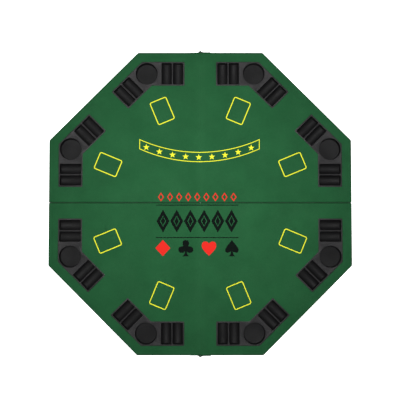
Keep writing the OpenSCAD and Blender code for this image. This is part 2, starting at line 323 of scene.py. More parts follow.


# Green cloth on the UV map that holds its flat shape in metres: dyed nap, a painted highlight along
# the crease at the fold, and painted shade lines where it is rolled over the boards and along the seam
surface, given, out = newGroup("clothSurface", [("Vector", "Vector", None)], ["Colour", "Shade", "Height"])
woven = useGroup(surface, weave, {"Vector": given["Vector"], "Threads": clothLook["threads"],
                                  "Nap": clothLook["nap"]})
mottle = put(surface, "TexNoise", {"Vector": given["Vector"], "Scale": 7.0, "Detail": 5.0,
                                   "Roughness": 0.6}).outputs[0]
tone = sums(surface, "MULTIPLY", sums(surface, "ADD", woven["Shade"], mottle), 0.55)
green = blendColour(surface, ranged(surface, tone, 0.25, 0.85), clothLook["shade"], clothLook["light"])
part = put(surface, "SeparateXYZ", {0: given["Vector"]}).outputs
across, along = sums(surface, "ABSOLUTE", part[0]), sums(surface, "ABSOLUTE", part[1])
# painted highlight: a lighter strip along the crease at the fold
crease = ranged(surface, across, clothLook["creaseWidth"], 0.0)
crease = sums(surface, "MULTIPLY", crease, clothLook["creaseHighlightAmount"])
green = blendColour(surface, crease, green, clothLook["paintedCreaseHighlight"])
# painted shade: a dark line where the cloth rolls over the outer edges and along the seam, fading within a
# few millimetres
corner = sums(surface, "MULTIPLY", sums(surface, "ADD", across, along), math.sqrt(0.5))
reach = sums(surface, "MAXIMUM", sums(surface, "MAXIMUM", across, along), corner)
toEdge = sums(surface, "ABSOLUTE", sums(surface, "SUBTRACT", reach, table["apothem"] * mm))
paintedEdgeShade = ranged(surface, sums(surface, "MINIMUM", toEdge, along), *clothLook["paintedEdgeShadeBand"])
paintedEdgeShade = sums(surface, "MULTIPLY", paintedEdgeShade, clothLook["paintedEdgeShadeAmount"])
green = blendColour(surface, paintedEdgeShade, green, clothLook["paintedEdgeShade"])
surface.links.new(green, out["Colour"])
surface.links.new(woven["Shade"], out["Shade"])
surface.links.new(woven["Height"], out["Height"])


def clothColours(tree):
    flat = put(tree, "UVMap", uv_map="flat").outputs[0]
    return flat, useGroup(tree, surface, {"Vector": flat})


clothMaterial, tree, shader = newMaterial("green speed cloth", clothLook["light"], clothLook["shine"])
flat, woven = clothColours(tree)
lint = useGroup(tree, dust, {"Vector": flat, "Scale": clothLook["lintScale"],
                             "Amount": clothLook["lintAmount"]})["Mask"]
tree.links.new(blendColour(tree, lint, woven["Colour"], clothLook["lint"]), shader.inputs["Base Color"])
bump(tree, shader, woven["Height"], *clothLook["bump"])

inks = {
    "yellow ink": rgb(0.60, 0.61, 0.026),
    "red ink": rgb(0.50, 0.016, 0.011),
    "black ink": rgb(0.0018, 0.0032, 0.0028),
}
inkLook = {
    "fine": 1500.0,              # scale of the specks that the print misses
    "thin": 0.18,                # how much cloth shows in them
    "bump": (0.4, 0.0004),
    "shine": {"Roughness": 0.85, "Specular IOR Level": 0.04},
}


# Printing ink in the nap; the cloth shows through where it is thin
def inkMaterial(name):
    made, tree, shader = newMaterial(name, inks[name], inkLook["shine"])
    flat, woven = clothColours(tree)
    fine = put(tree, "TexNoise", {"Vector": flat, "Scale": inkLook["fine"], "Detail": 2.0}).outputs[0]
    missed = ranged(tree, sums(tree, "ADD", fine, woven["Shade"]), 0.95, 0.60)
    thin = sums(tree, "MULTIPLY", missed, inkLook["thin"])
    tree.links.new(blendColour(tree, thin, inks[name], woven["Colour"]), shader.inputs["Base Color"])
    tree.links.new(ranged(tree, woven["Shade"], 0.2, 0.8, 0.7, 0.88), shader.inputs["Roughness"])
    bump(tree, shader, woven["Height"], *inkLook["bump"])
    return made


inkMaterials = {name: inkMaterial(name) for name in inks}

# Moulded plastic, pebbled and a little rubbed in patches, with painted shade darkening its wells
trayLook = {
    "plastic": rgb(0.0078, 0.0076, 0.0083),
    "rubbed": rgb(0.0128, 0.0122, 0.0130),
    "dust": rgb(0.30, 0.29, 0.27),
    "paintedWellShade": rgb(0.0022, 0.0022, 0.0025),   # painted shade down in the wells
    "raised": (0.0210, 0.0290),            # heights in metres between which a well turns into the flange
    "deepRough": 0.16,
    "shine": {"Roughness": 0.5, "Specular IOR Level": 0.18},
    "pebbles": 1300.0,
}
trayMaterial, tree, shader = newMaterial("charcoal moulded plastic", trayLook["plastic"], trayLook["shine"])
here = put(tree, "TexCoord").outputs["Object"]
pebbled = useGroup(tree, pebble, {"Vector": here, "Scale": trayLook["pebbles"]})
dusty = useGroup(tree, dust, {"Vector": here, "Scale": 900.0, "Amount": 0.08})["Mask"]
plastic = blendColour(tree, ranged(tree, pebbled["Tone"], 0.35, 0.7), trayLook["plastic"], trayLook["rubbed"])
# painted shade: darker below the flange, down in the chip slots and the cup well
raised = ranged(tree, put(tree, "SeparateXYZ", {0: here}).outputs[2], *trayLook["raised"])
plastic = blendColour(tree, raised, trayLook["paintedWellShade"], plastic)
tree.links.new(blendColour(tree, dusty, plastic, trayLook["dust"]), shader.inputs["Base Color"])
rough = ranged(tree, pebbled["Tone"], 0.3, 0.7, 0.44, 0.58)
tree.links.new(sums(tree, "SUBTRACT", sums(tree, "ADD", rough, trayLook["deepRough"]),
                    sums(tree, "MULTIPLY", raised, trayLook["deepRough"])), shader.inputs["Roughness"])
bump(tree, shader, pebbled["Height"], 0.22, 0.0002)

# Fibreboard, black-faced hardboard and pine
boardLooks = {
    "deck_board": {"dark": rgb(0.30, 0.185, 0.095), "pale": rgb(0.47, 0.32, 0.19),
                   "stretch": 0.8, "scale": 90.0, "rough": 0.85, "shine": 0.3},
    "base_board": {"dark": rgb(0.016, 0.015, 0.0145), "pale": rgb(0.034, 0.032, 0.030),
                   "stretch": 0.7, "scale": 40.0, "rough": 0.62, "shine": 0.25},
    "softwood": {"dark": rgb(0.42, 0.26, 0.12), "pale": rgb(0.66, 0.48, 0.28),
                 "stretch": 0.05, "scale": 70.0, "rough": 0.7, "shine": 0.35},
}


# A board's finish, with its grain turned by that many degrees
def boardMaterial(name, turn=0):
    look = boardLooks[name]
    made, tree, shader = newMaterial(f"{name} {turn}", look["pale"],
                                     {"Roughness": look["rough"], "Specular IOR Level": look["shine"]})
    here = put(tree, "TexCoord").outputs["Object"]
    turned = put(tree, "Mapping", {"Vector": here, "Rotation": (0, 0, math.radians(turn))}).outputs[0]
    lines = useGroup(tree, grain, {"Vector": turned, "Stretch": look["stretch"], "Scale": look["scale"]})
    scuffs = useGroup(tree, dust, {"Vector": here, "Scale": 260.0, "Amount": 0.09})["Mask"]
    wood = blendColour(tree, ranged(tree, lines["Tone"], 0.1, 0.9), look["dark"], look["pale"])
    tree.links.new(blendColour(tree, scuffs, wood, rgb(0.42, 0.38, 0.33)), shader.inputs["Base Color"])
    tree.links.new(ranged(tree, lines["Tone"], 0.0, 1.0, look["rough"] - 0.08, look["rough"] + 0.08),
                   shader.inputs["Roughness"])
    bump(tree, shader, lines["Height"], 0.25, 0.0003)
    return made


# Rubber with dust in its pebbled skin
rubberLook = {
    "rubber": rgb(0.018, 0.018, 0.019),
    "dust": rgb(0.20, 0.19, 0.18),
    "dustAmount": 0.35,
    "pebbles": 1800.0,
    "shine": {"Roughness": 0.75},
}
rubberMaterial, tree, shader = newMaterial("pad rubber", rubberLook["rubber"], rubberLook["shine"])
here = put(tree, "TexCoord").outputs["Object"]
pebbled = useGroup(tree, pebble, {"Vector": here, "Scale": rubberLook["pebbles"]})
dusty = useGroup(tree, dust, {"Vector": here, "Scale": 1100.0, "Amount": rubberLook["dustAmount"]})["Mask"]
tree.links.new(blendColour(tree, dusty, rubberLook["rubber"], rubberLook["dust"]),
               shader.inputs["Base Color"])
bump(tree, shader, pebbled["Height"], 0.3, 0.0002)

# Green enamel over steel, rubbed through in small chips
enamelLook = {
    "enamel": rgb(0.0040, 0.036, 0.0120),
    "dark": rgb(0.0030, 0.030, 0.0095),
    "pale": rgb(0.0055, 0.045, 0.0150),
    "steel": rgb(0.42, 0.42, 0.40),
    "chips": (0.70, 0.76),     # how much of it is bare
    "pebbles": 650.0,
    "shine": {"Roughness": 0.5, "Specular IOR Level": 0.15},
}
enamelMaterial, tree, shader = newMaterial("dark enamelled steel", enamelLook["enamel"], enamelLook["shine"])
here = put(tree, "TexCoord").outputs["Object"]
pebbled = useGroup(tree, pebble, {"Vector": here, "Scale": enamelLook["pebbles"]})
chips = put(tree, "TexNoise", {"Vector": here, "Scale": 330.0, "Detail": 4.0, "Roughness": 0.7}).outputs[0]
bare = ranged(tree, chips, *enamelLook["chips"])
tone = blendColour(tree, pebbled["Tone"], enamelLook["dark"], enamelLook["pale"])
tree.links.new(blendColour(tree, bare, tone, enamelLook["steel"]), shader.inputs["Base Color"])
tree.links.new(bare, shader.inputs["Metallic"])
tree.links.new(ranged(tree, pebbled["Tone"], 0.3, 0.7, 0.42, 0.58), shader.inputs["Roughness"])
bump(tree, shader, pebbled["Height"], 0.15, 0.0002)

# Zinc plating with fine brushed lines
zincLook = {
    "zinc": rgb(0.60, 0.60, 0.57),
    "dark": rgb(0.50, 0.50, 0.49),
    "pale": rgb(0.68, 0.67, 0.61),
    "lines": 500.0,
    "pebbles": 260.0,
}
zincMaterial, tree, shader = newMaterial("zinc-plated steel", zincLook["zinc"], {"Metallic": 1.0})
here = put(tree, "TexCoord").outputs["Object"]
lines = useGroup(tree, grain, {"Vector": here, "Stretch": 0.2, "Scale": zincLook["lines"]})
pebbled = useGroup(tree, pebble, {"Vector": here, "Scale": zincLook["pebbles"]})
tree.links.new(blendColour(tree, pebbled["Tone"], zincLook["dark"], zincLook["pale"]),
               shader.inputs["Base Color"])
tree.links.new(ranged(tree, lines["Tone"], 0.0, 1.0, 0.26, 0.44), shader.inputs["Roughness"])
bump(tree, shader, lines["Height"], 0.08, 0.0001)
print("materials made")


# Gives a new piece its material
def finishOf(obj, material):
    obj.data.materials.clear()
    obj.data.materials.append(material)
    return obj


woods = {}
for name, turn in (("deck_board", 0), ("base_board", 0), ("softwood", 0), ("softwood", 90), ("softwood", -45),
                   ("softwood", 45)):
    woods[name, turn] = boardMaterial(name, turn)


# The grain of a rail or brace runs along it
def railTurn(name):
    if "fold_rail" in name:
        return 90
    if "brace" in name:
        return -45 if name.startswith(("front_left", "rear_right")) else 45
    return 0


slotOf = {row["node"]: row["material_slot"] for row in frame["record"]["subparts"]}
for name, obj in nodes.items():
    kind = slotOf[name]
    if kind in boardLooks:
        obj.data.materials[0] = woods[kind, railTurn(name) if kind == "softwood" else 0]
    else:
        obj.data.materials[0] = {
            "green_cloth": clothMaterial, "tray_plastic": trayMaterial, "pad_rubber": rubberMaterial,
            "blackened_steel": enamelMaterial, "bright_steel": zincMaterial}[kind]

# The bent trays, in millimetres
tray = {
    "band": 97.0,          # width of the bent band
    "outer": 571.1,        # its outer edge, from the middle of the table
    "armEnd": 63.4,        # where an arm ends
    "endRound": 4.0,
    "seat": 3.0,           # how far the flange overlaps the cloth's opening
    "slotLength": 86.0,
    "slotRadius": 20.5,
    "slotFloor": 9.8,
    "slotAt": (135.9, 89.9),
    "slotRise": 3.0,       # the slot tools stand this far above the half cylinder
    "slotEndFillet": 3.5,
    "filletSteps": 4,
    "cupRadius": 43.5,
    "cupAt": (522.6, 216.5),
    "cupFillet": 4.5,
    "cupToolDepth": 30.0,
    "rimRound": 1.1,
    "lipRound": 0.7,
    "wall": 1.6,
    "low": 4.0,            # the solid band reaches down to here before it is opened underneath
}
halfBend = math.radians(22.5)


# A solid bent band, drawn in by inset, with its middle line along X
def bentBand(name, inset, low, high):
    inner, outer = tray["outer"] - tray["band"] + inset, tray["outer"] - inset
    start, stop = tray["armEnd"] + inset, outer
    bpy.ops.mesh.primitive_plane_add(size=1)
    band = bpy.context.object
    band.name = name
    band.scale = ((outer - inner) * mm, (stop - start) * mm, 1)
    place(band, ((outer + inner) / 2 * mm, (start + stop) / 2 * mm, high * mm))
    edit(band)
    pick("VERT", lambda v: v.co.y < start * mm + near)
    bpy.ops.mesh.bevel(offset=tray["endRound"] * mm, segments=5, affect="VERTICES")
    leave()
    place(band, turn=(0, 0, -halfBend))
    modify(band, "MIRROR", use_axis=(False, True, False), use_bisect_axis=(False, True, False),
           use_bisect_flip_axis=(False, True, False), merge_threshold=near)
    edit(band)
    pick("EDGE", lambda e: all(abs(v.co.y) < near for v in e.verts))
    bpy.ops.mesh.dissolve_edges(use_verts=False)
    bpy.ops.mesh.select_all(action="SELECT")
    bpy.ops.mesh.extrude_region_move(TRANSFORM_OT_translate={"value": (0, 0, (low - high) * mm)})
    bpy.ops.mesh.select_all(action="SELECT")
    bpy.ops.mesh.normals_make_consistent(inside=False)
    return leave()


# What a chip slot takes out: a half cylinder with straight sides above, its ends drawn in over a fillet
def slotTool():
    radius, fillet = tray["slotRadius"], tray["slotEndFillet"]
    axis = (tray["slotFloor"] + radius) * mm
    half = (tray["slotLength"] / 2 - fillet) * mm
    rise = tray["slotRise"] * mm
    bpy.ops.mesh.primitive_cylinder_add(vertices=48, radius=radius * mm, depth=2 * half)
    tool = place(bpy.context.object, (0, 0, axis), (0, math.pi / 2, 0))
    edit(tool)
    planeCut((0, 0, axis + near), (0, 0, 1), keep=-1, fill=True)
    pick("VERT", lambda v: v.co.z > axis - 2e-5)
    bpy.ops.transform.translate(value=(0, 0, rise))
    for end in (1, -1):
        reach, width = 0.0, 1.0
        for step in range(1, tray["filletSteps"] + 1):
            turn = math.pi / 2 * step / tray["filletSteps"]
            pick("FACE", lambda f: f.normal.x * end > 0.99)
            bpy.ops.mesh.extrude_region_move(
                TRANSFORM_OT_translate={"value": (end * (fillet * math.sin(turn) - reach) * mm, 0, 0)})
            narrow = 1 - fillet * (1 - math.cos(turn)) / radius
            shrink = narrow / width
            bpy.ops.transform.resize(value=(1, shrink, shrink), center_override=(0, 0, axis + rise))
            reach, width = fillet * math.sin(turn), narrow
    bpy.ops.mesh.select_all(action="SELECT")
    bpy.ops.mesh.normals_make_consistent(inside=False)
    return leave()


# What the cup well takes out: a cylinder with a fillet round its floor
def cupTool():
    floor, depth = tray["slotFloor"] * mm, tray["cupToolDepth"] * mm
    bpy.ops.mesh.primitive_cylinder_add(
        vertices=96, radius=tray["cupRadius"] * mm, depth=depth,
        location=(math.hypot(*tray["cupAt"]) * mm, 0, floor + depth / 2))
    tool = settle(bpy.context.object)
    edit(tool)
    pick("EDGE", lambda e: all(v.co.z < floor + near for v in e.verts))
    bpy.ops.mesh.bevel(offset=tray["cupFillet"] * mm, segments=5, affect="EDGES")
    return leave()


# The band with its slots and well cut out, opened underneath and given its wall
def mouldedTray():
    top = table["trayTop"] * mm
    bottom = tray["low"]
    shell = bentBand("moulded_tray", 0, bottom, table["trayTop"])
    tool = slotTool()
    tools = [cupTool()]
    for at in tray["slotAt"]:
        for side in (1, -1):
            one = copyOf(tool, "slot_tool")
            place(one, (tray["cupAt"][0] * mm, at * mm, 0))
            place(one, turn=(0, 0, -halfBend))
            if side < 0:
                one.scale = (1, -1, 1)
                settle(one)
                edit(one)
                bpy.ops.mesh.normals_make_consistent(inside=False)
                leave()
            tools.append(one)
    bpy.data.objects.remove(tool)
    cut(shell, *tools)
    edit(shell)
    pick("FACE", lambda f: any(v.co.z < (bottom + 1) * mm for v in f.verts))
    bpy.ops.mesh.delete(type="FACE")
    bpy.ops.mesh.select_all(action="SELECT")
    bpy.ops.mesh.remove_doubles(threshold=5e-5)
    pick("EDGE", lambda e: all(abs(v.co.z - top) < 1e-6 for v in e.verts) and len(e.link_faces) == 2
         and any(abs(f.normal.z) < 0.5 for f in e.link_faces))
    bpy.ops.mesh.bevel(offset=tray["rimRound"] * mm, segments=4, affect="EDGES")
    leave()
    modify(shell, "SOLIDIFY", thickness=tray["wall"] * mm, offset=-1, use_even_offset=True)
    edit(shell)
    pick("EDGE", lambda e: all(abs(v.co.z - top) < 1e-6 for v in e.verts)
         and any(abs(f.normal.z) < 0.2 for f in e.link_faces))
    bpy.ops.mesh.bevel(offset=tray["lipRound"] * mm, segments=3, affect="EDGES")
    leave()
    return smooth(finishOf(shell, trayMaterial))


firstTray = mouldedTray()
for turns in range(8):
    angle = halfBend * (1 + 2 * turns)
    quarter = quarterOf(angle)
    side = "side" if abs(math.cos(angle)) > abs(math.sin(angle)) else "end"
    one = copyOf(firstTray, f"{quarter}_{side}_moulding")
    place(one, turn=(0, 0, angle))
    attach(one, quarter)
    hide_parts(f"{quarter}_{side}_tray")
bpy.data.objects.remove(firstTray)
print("trays made")

# The two cloths, each over one half of the top
cloth = {
    "hem": 14.0,
    "edgeRound": 4.0,
    "edgeSegments": 5,
    "foldSag": 0.45,       # the cloth dips a little where only it bridges the fold
    "hemDepth": 35.0,      # skirt and hem together, for the flat size
    "openings": (24, 34),  # heights that the tray openings are cut between
}


# Cuts strips across the fold, where the cloth and its print bend
def foldColumns():
    gap, count = table["foldGap"] * mm, table["foldColumns"]
    for i in range(count + 1):
        planeCut((-gap + 2 * gap * i / count, 0, 0), (1, 0, 0))


# Lets what lies over the fold's gap dip a little
def dipAtFold(obj):
    gap = table["foldGap"] * mm
    for v in obj.data.vertices:
        if abs(v.co.x) < gap:
            v.co.z -= cloth["foldSag"] * mm * (1 - (v.co.x / gap) ** 2)


# A UV map in metres that runs over the edge and down the sides without a break
def flatMap(obj):
    mesh = obj.data
    for old in list(mesh.uv_layers):
        mesh.uv_layers.remove(old)
    layer = mesh.uv_layers.new(name="flat")
    top = table["clothTop"] * mm
    for face in mesh.polygons:
        out = Vector((face.normal.x, face.normal.y))
        out = out.normalized() if out.length > 0.3 else Vector((0, 0))
        for i in face.loop_indices:
            at = mesh.vertices[mesh.loops[i].vertex_index].co
            layer.data[i].uv = at.xy + out * (top - at.z)


# One cloth, rolled over the edges and turned under, with an opening for each tray
def halfCloth(name, side):
    top, bottom = table["clothTop"] * mm, table["baseTop"] * mm
    gap = table["foldGap"] * mm
    radius = table["apothem"] / math.cos(halfBend) * mm
    bpy.ops.mesh.primitive_circle_add(
        vertices=8, radius=radius, fill_type="NGON", location=(0, 0, top), rotation=(0, 0, halfBend))
    sheet = settle(bpy.context.object)
    edit(sheet)
    planeCut((0, side * table["seamFace"] * mm, 0), (0, side, 0), keep=1)
    bpy.ops.mesh.select_all(action="SELECT")
    bpy.ops.mesh.extrude_region_move(TRANSFORM_OT_translate={"value": (0, 0, bottom - top)})
    bpy.ops.mesh.select_all(action="SELECT")
    bpy.ops.mesh.normals_make_consistent(inside=False)
    pick("FACE", lambda f: abs(middle(f).z - bottom) < near)
    bpy.ops.mesh.inset(thickness=cloth["hem"] * mm)
    bpy.ops.mesh.delete(type="FACE")
    pick("EDGE", lambda e: len(e.link_faces) == 2 and all(abs(f.normal.z) < 0.1 for f in e.link_faces)
         or all(abs(v.co.z - top) < near for v in e.verts))
    bpy.ops.mesh.bevel(offset=cloth["edgeRound"] * mm, segments=cloth["edgeSegments"], affect="EDGES")
    foldColumns()
    pick("FACE", lambda f: abs(middle(f).x) < gap - near and middle(f).z < top - cloth["edgeRound"] * mm)
    bpy.ops.mesh.delete(type="FACE")
    leave()
    dipAtFold(sheet)
    modify(sheet, "SOLIDIFY", thickness=table["clothThick"] * mm, offset=-1, use_even_offset=True)
    for turns in range(4):
        angle = side * halfBend * (1 + 2 * turns)
        tool = bentBand("opening_tool", tray["seat"], *cloth["openings"])
        cut(sheet, place(tool, turn=(0, 0, angle)))
    flatMap(sheet)
    sheet.name = sheet.data.name = name
    return smooth(finishOf(sheet, clothMaterial), 50)


for half, side in halves.items():
    sheet = halfCloth(f"{half}_half_cloth", side)
    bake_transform(sheet)
    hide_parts(f"{half}_left_cloth", f"{half}_right_cloth")
print("cloths made")

# The printed marks lie on the cloth and bend with it
ink = {"top": 29.16, "thick": 0.3}   # its top stands just proud of the cloth


def flatShape(corners, radius, at=(0, 0), turn=0.0, size=(1, 1)):
    bpy.ops.mesh.primitive_circle_add(
        vertices=corners, radius=radius * mm, fill_type="NGON", rotation=(0, 0, turn))
    shape = settle(bpy.context.object)
    shape.scale = (size[0], size[1], 1)
    return place(shape, (at[0] * mm, at[1] * mm, ink["top"] * mm))


# Turns a face into a ring of that width
def hollow(shape, width):
    edit(shape)
    bpy.ops.mesh.inset(thickness=width * mm, use_even_offset=True)
    bpy.ops.mesh.delete(type="FACE")
    return leave()


# Two flat shapes by their width and height
def lozenge(at, width, height):
    return flatShape(4, 1, at, 0, (width / 2, height / 2))


def bar(at, width, height):
    return flatShape(4, math.sqrt(0.5), at, math.pi / 4, (width, height))


# Joins the shapes, gives them the ink's thickness and cuts them into strips at the fold
def printed(name, shapes, colour, half):
    mark = join(shapes, name)
    edit(mark)
    bpy.ops.mesh.extrude_region_move(TRANSFORM_OT_translate={"value": (0, 0, -ink["thick"] * mm)})
    bpy.ops.mesh.select_all(action="SELECT")
    bpy.ops.mesh.normals_make_consistent(inside=False)
    foldColumns()
    leave()
    dipAtFold(mark)
    flatMap(mark)
    finishOf(mark, inkMaterials[colour])
    if half in halves:
        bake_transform(mark)
    else:
        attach(mark, half)
    return mark


# Rounded boxes for the players' cards, one in front of each tray
cardBox = {"long": 98.0, "wide": 73.0, "line": 3.7, "round": 8.0, "radius": 402.0}
boxes = {quarter: [] for quarter in quarters}
for turns in range(8):
    angle = halfBend * (1 + 2 * turns)
    outline = bar((0, 0), cardBox["long"], cardBox["wide"])
    edit(outline)
    pick("VERT", lambda v: True)
    bpy.ops.mesh.bevel(offset=cardBox["round"] * mm, segments=6, affect="VERTICES")
    leave()
    hollow(outline, cardBox["line"])
    boxes[quarterOf(angle)].append(place(outline, spot(angle, cardBox["radius"] * mm), (0, 0, angle)))
for quarter, shapes in boxes.items():
    printed(f"{quarter}_card_boxes", shapes, "yellow ink", quarter)

# The curved band of stars; its two long lines and the stars follow one arc
starBand = {
    "middle": -3.0, "halfWidth": 242.6, "high": 204.6, "low": 164.0, "radius": 587.0, "line": 2.8,
    "stars": 9, "starMiddle": -6.0, "starRadius": 13.5, "starWaist": 0.40, "starStep": 52.9,
    "starLine": 183.0, "columns": 56,
}


# How far the band and its stars rise at x, along an arc
def sagLine(x):
    return starBand["radius"] - math.sqrt(starBand["radius"] ** 2 - (x - starBand["middle"]) ** 2)


# Ten corners, every second one drawn in towards the middle
def star(at):
    shape = flatShape(10, starBand["starRadius"], at, math.pi)
    edit(shape)
    centre = Vector((at[0] * mm, at[1] * mm, ink["top"] * mm))
    pick("VERT", lambda v: round(math.atan2(v.co.x - centre.x, v.co.y - centre.y) / (math.pi / 5)) % 2 == 1)
    bpy.ops.transform.resize(value=[starBand["starWaist"]] * 3, center_override=centre)
    return leave()


# A long narrow ring, cut into columns so that it can follow the arc
def curvedBand():
    high, low = starBand["high"], starBand["low"]
    shape = bar((starBand["middle"], (high + low) / 2), 2 * starBand["halfWidth"], high - low)
    edit(shape)
    step = 2 * starBand["halfWidth"] / starBand["columns"]
    for i in range(1, starBand["columns"]):
        planeCut(((starBand["middle"] - starBand["halfWidth"] + i * step) * mm, 0, 0), (1, 0, 0))
    leave()
    for v in shape.data.vertices:
        v.co.y += sagLine(v.co.x / mm) * mm
    return hollow(shape, starBand["line"])


stars = []
for i in range(starBand["stars"]):
    x = starBand["starMiddle"] + (i - (starBand["stars"] - 1) / 2) * starBand["starStep"]
    stars.append(star((x, starBand["starLine"] + sagLine(x))))
printed("rear_star_band", [curvedBand()] + stars, "yellow ink", "rear")

# Lozenges, rules and card suits by the seam, each by its place and size
centrePrint = {
    "middle": -12.0,
    "small": {"count": 9, "step": 36.5, "size": (24.0, 36.0), "line": 3.6, "y": 23.0},
    "tall": {"count": 6, "step": 55.0, "size": (52.0, 92.0), "line": 11.5, "heart": (17.0, 36.0), "y": -74.0},
    "rules": {"width": 331.0, "thick": 3.4, "y": (-9.6, -140.0)},
    "suits": {"diamond": (-150.0, -182.0), "diamondSize": (60, 65), "club": (-58.0, -182.0),
              "heart": (35.0, -182.0), "spade": (127.0, -182.0)},
}

small = centrePrint["small"]
smallOnes = []
for i in range(small["count"]):
    x = centrePrint["middle"] + (i - (small["count"] - 1) / 2) * small["step"]
    smallOnes.append(hollow(lozenge((x, small["y"]), *small["size"]), small["line"]))
printed("rear_small_lozenges", smallOnes, "red ink", "rear")

tall = centrePrint["tall"]
blackOnes = []
for i in range(tall["count"]):
    x = centrePrint["middle"] + (i - (tall["count"] - 1) / 2) * tall["step"]
    blackOnes.append(hollow(lozenge((x, tall["y"]), *tall["size"]), tall["line"]))
    blackOnes.append(lozenge((x, tall["y"]), *tall["heart"]))
rules = centrePrint["rules"]
for y in rules["y"]:
    blackOnes.append(bar((centrePrint["middle"], y), rules["width"], rules["thick"]))
printed("front_tall_lozenges", blackOnes, "black ink", "front")


# A card suit from its right-hand outline: points with the handles before and after them, in millimetres
def suit(outline, at):
    curve = bpy.data.curves.new("suit", "CURVE")
    curve.dimensions, curve.fill_mode, curve.resolution_u = "2D", "BOTH", 8
    spline = curve.splines.new("BEZIER")
    whole = outline + [((-x, y), (-bx, by), (-ax, ay)) for (x, y), (ax, ay), (bx, by) in reversed(outline)
                       if x > 0]
    spline.bezier_points.add(len(whole) - 1)
    for point, (co, before, after) in zip(spline.bezier_points, whole):
        point.co = (co[0] * mm, co[1] * mm, 0)
        point.handle_left = (before[0] * mm, before[1] * mm, 0)
        point.handle_right = (after[0] * mm, after[1] * mm, 0)
    spline.use_cyclic_u = True
    shape = bpy.data.objects.new("suit", curve)
    bpy.context.scene.collection.objects.link(shape)
    only(shape)
    bpy.ops.object.convert(target="MESH")
    shape = bpy.context.object
    edit(shape)
    bpy.ops.mesh.remove_doubles(threshold=1e-6)
    bpy.ops.mesh.dissolve_limited(angle_limit=0.001)
    leave()
    return place(shape, (at[0] * mm, at[1] * mm, ink["top"] * mm))


heartOutline = [
    ((0, -31), (-6, -24), (6, -24)),
    ((29, 8), (29, -6), (29, 22)),
    ((15, 26), (24, 26), (7, 26)),
    ((0, 17), (2, 22), (-2, 22)),
]
spadeOutline = [
    ((0, 33), (-3, 26), (3, 26)),
    ((26.5, -5), (24, 7), (27.5, -16)),
    ((15, -18), (23, -19), (9, -18)),
    ((3.2, -12), (5, -15), (4, -22)),
    ((15, -33), (8, -32), (15, -33)),
]
clubOutline = [
    ((0, 32), (-9, 32), (9, 32)),
    ((13, 18), (13, 26), (13, 12)),
    ((8.5, 7), (10, 9), (12, 8.5)),
    ((16, 6.5), (13.5, 6.5), (24, 6.5)),
    ((30, -7), (30, 1), (30, -15)),
    ((16, -19), (24, -19.5), (9, -19)),
    ((3.2, -12), (5, -15), (4, -22)),
    ((15, -33), (8, -32), (15, -33)),
]
suits = centrePrint["suits"]
redOnes = [lozenge(suits["diamond"], *suits["diamondSize"]), suit(heartOutline, suits["heart"])]
printed("front_red_suits", redOnes, "red ink", "front")
blackOnes = [suit(clubOutline, suits["club"]), suit(spadeOutline, suits["spade"])]
printed("front_black_suits", blackOnes, "black ink", "front")
print("print made")

# Rubber feet, four under each panel, in millimetres
foot = {
    "radius": 12.0, "height": 5.0, "round": 1.0,
    "ring": 3.0, "slope": 2.0, "dishDepth": 0.8,   # a flat ring round a shallow dish
    "span": 26.4,                                  # points of the frame's pads within this are one pad's
}


# A rubber foot that stands on a flat ring
def rubberFoot():
    bpy.ops.mesh.primitive_cylinder_add(
        vertices=48, radius=foot["radius"] * mm, depth=foot["height"] * mm,
        location=(0, 0, foot["height"] / 2 * mm))
    pad = settle(bpy.context.object)
    edit(pad)
    pick("FACE", lambda f: f.normal.z < -0.9)
    bpy.ops.mesh.inset(thickness=foot["ring"] * mm)
    bpy.ops.mesh.inset(thickness=foot["slope"] * mm)
    bpy.ops.transform.translate(value=(0, 0, foot["dishDepth"] * mm))
    rim = (foot["radius"] - 0.1) * mm
    pick("EDGE", lambda e: all(v.co.z < near and v.co.xy.length > rim for v in e.verts))
    bpy.ops.mesh.bevel(offset=foot["round"] * mm, segments=3, affect="EDGES")
    leave()
    return smooth(finishOf(pad, rubberMaterial), 40)


pattern = rubberFoot()
for quarter in quarters:
    node = nodes[f"{quarter}_pads"]
    groups = []
    for point in [v.co.xy for v in node.data.vertices if v.co.z < near]:
        for group in groups:
            if (group[0] - point).length < foot["span"] * mm:
                group.append(point)
                break
        else:
            groups.append([point])
    feet = []
    for group in groups:
        low = Vector((min(p.x for p in group), min(p.y for p in group)))
        high = Vector((max(p.x for p in group), max(p.y for p in group)))
        centre = (low + high) / 2
        feet.append(place(copyOf(pattern, "foot"), (centre.x, centre.y, 0)))
    feet = join(feet, f"{quarter}_feet")
    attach(feet, quarter)
    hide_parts(f"{quarter}_pads")
bpy.data.objects.remove(pattern)
print("feet made")

# Countersunk screws of the fold pivots and the seam hinges, in millimetres
screw = {
    "radius": 1.3, "length": 13.0, "tip": 3.5, "tipWidth": 0.12,
    "headRadius": 2.6, "headDepth": 1.1, "rim": 0.12, "rimTaper": 0.96,
    "recess": (2.9, 0.62), "recessDepth": 0.9, "recessTaper": 0.55,
}


